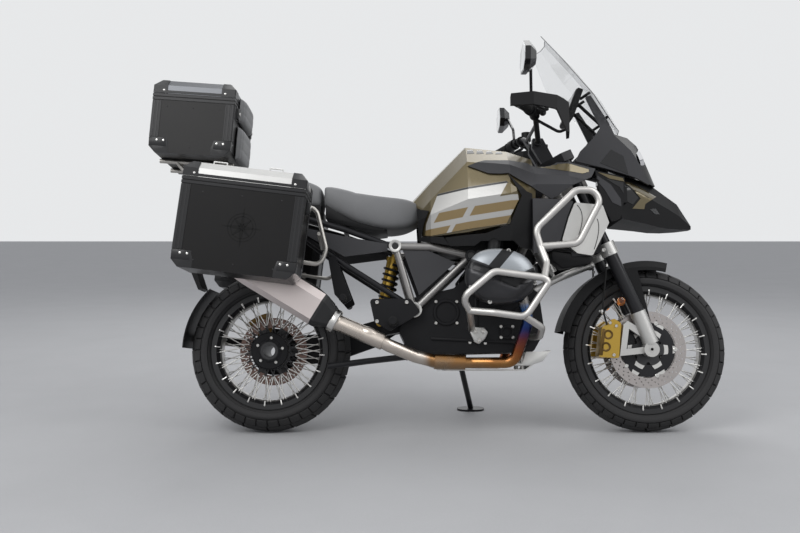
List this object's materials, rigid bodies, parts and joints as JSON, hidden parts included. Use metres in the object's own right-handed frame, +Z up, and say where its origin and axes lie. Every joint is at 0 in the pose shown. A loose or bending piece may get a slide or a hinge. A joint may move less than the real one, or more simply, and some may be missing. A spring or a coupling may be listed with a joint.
{
  "type": "adventure motorcycle",
  "caption": "Flat twin adventure motorcycle on its side stand, with wire wheels, single-sided shaft drive arm, tubular guards, screen and metal luggage cases.",
  "frame": {"origin": "middle of the overall footprint, on the floor that the tyres and the side stand rest on", "axes": "+X forward, +Y to the rider's left, +Z up; the machine leans 9.5 degrees to +Y on its side stand"},
  "size_m": [2.2972, 1.1347, 1.5939],
  "materials": {
    "black_metal": "satin black",
    "black_plastic": "grained black",
    "bronze_paint": "metallic khaki bronze",
    "case_black": "matt black",
    "clear_screen": "clear",
    "dark_grey": "satin dark grey",
    "disc_steel": "brushed steel",
    "display": "dark glass",
    "engine_grey": "cast grey",
    "fork_silver": "satin aluminium",
    "frame_silver": "satin silver paint",
    "gold_metal": "gold anodised",
    "guard_steel": "brushed stainless",
    "lamp": "clear lamp",
    "lid_aluminium": "satin aluminium",
    "pipe_steel": "heat-tinted stainless",
    "seat_grey": "grained grey cover",
    "silencer_steel": "satin stainless",
    "silver_paint": "metallic silver",
    "tyre": "matt black rubber"
  },
  "bodies": {
    "frame": {"air_box": "black_plastic", "back_pad": "seat_grey", "beak": "bronze_paint", "cockpit_panels": "black_plastic", "crash_bars": "guard_steel", "cylinders": "engine_grey", "engine_case": "engine_grey", "exhaust_pipes": "pipe_steel", "footrests": "fork_silver", "head_covers": "silver_paint", "headlight": "lamp", "instrument": "display", "luggage_rack": "black_metal", "main_frame": "frame_silver", "pillion_seat": "seat_grey", "radiator_covers": "silver_paint", "radiators": "dark_grey", "rear_caliper": "gold_metal", "rear_fender": "black_plastic", "rear_frame": "black_metal", "rear_shock": "gold_metal", "rider_seat": "seat_grey", "side_cases": "case_black", "side_covers": "black_plastic", "side_shrouds": "black_plastic", "silencer": "silencer_steel", "skid_plate": "lid_aluminium", "stand_bracket": "dark_grey", "swing_arm": "dark_grey", "tank": "bronze_paint", "tank_panels": "silver_paint", "tank_trim": "black_plastic", "telelever": "dark_grey", "top_case": "case_black", "windscreen": "clear_screen"},
    "rear_wheel": {"rear_tyre": "tyre", "rear_wheel": "black_metal", "rear_disc": "disc_steel"},
    "front_wheel": {"front_tyre": "tyre", "front_wheel": "black_metal", "front_discs": "disc_steel"},
    "steering": {"fork_tubes": "black_metal", "fork_castings": "fork_silver", "top_bridge": "fork_silver", "handlebar": "black_metal", "controls": "black_plastic", "hand_guards": "black_plastic", "mirrors": "black_plastic", "front_calipers": "gold_metal", "front_fender": "black_plastic"},
    "side_stand": {"side_stand": "fork_silver"},
    "centre_stand": {"centre_stand": "black_metal"},
    "left_lid": {"left_lid": "lid_aluminium"},
    "right_lid": {"right_lid": "lid_aluminium"},
    "top_lid": {"top_lid": "dark_grey", "lid_pad": "seat_grey"}
  },
  "joints": [
    {"name": "rear_wheel_spin", "type": "hinge", "parent": "frame", "child": "rear_wheel", "pos_m": [-0.68, -0.11698, 0.31682], "axis": [0, 0.9863, -0.165], "continuous": true},
    {"name": "steering_turn", "type": "hinge", "parent": "frame", "child": "steering", "pos_m": [0.47551, -0.00813, 0.96728], "axis": [-0.4067, 0.1508, 0.901], "range_deg": [-34, 34]},
    {"name": "front_wheel_spin", "type": "hinge", "parent": "steering", "child": "front_wheel", "pos_m": [0.824, -0.11622, 0.32139], "axis": [0, 0.9863, -0.165], "continuous": true},
    {"name": "side_stand_fold", "type": "hinge", "parent": "frame", "child": "side_stand", "pos_m": [0.09, 0.0475, 0.25764], "axis": [0, 0.7961, 0.6052], "range_deg": [0, 95]},
    {"name": "centre_stand_fold", "type": "hinge", "parent": "frame", "child": "centre_stand", "pos_m": [-0.12, -0.12049, 0.29589], "axis": [0, -0.9863, 0.165], "range_deg": [0, 100]},
    {"name": "left_lid_hinge", "type": "hinge", "parent": "frame", "child": "left_lid", "pos_m": [-0.94589, 0.37444, 0.86325], "axis": [0, -0.9863, 0.165], "range_deg": [0, 100]},
    {"name": "right_lid_hinge", "type": "hinge", "parent": "frame", "child": "right_lid", "pos_m": [-0.94589, -0.40374, 0.99347], "axis": [0, -0.9863, 0.165], "range_deg": [0, 100]},
    {"name": "top_lid_hinge", "type": "hinge", "parent": "frame", "child": "top_lid", "pos_m": [-1.13825, 0.05047, 1.31744], "axis": [0, -0.9863, 0.165], "range_deg": [0, 95]}
  ]
}
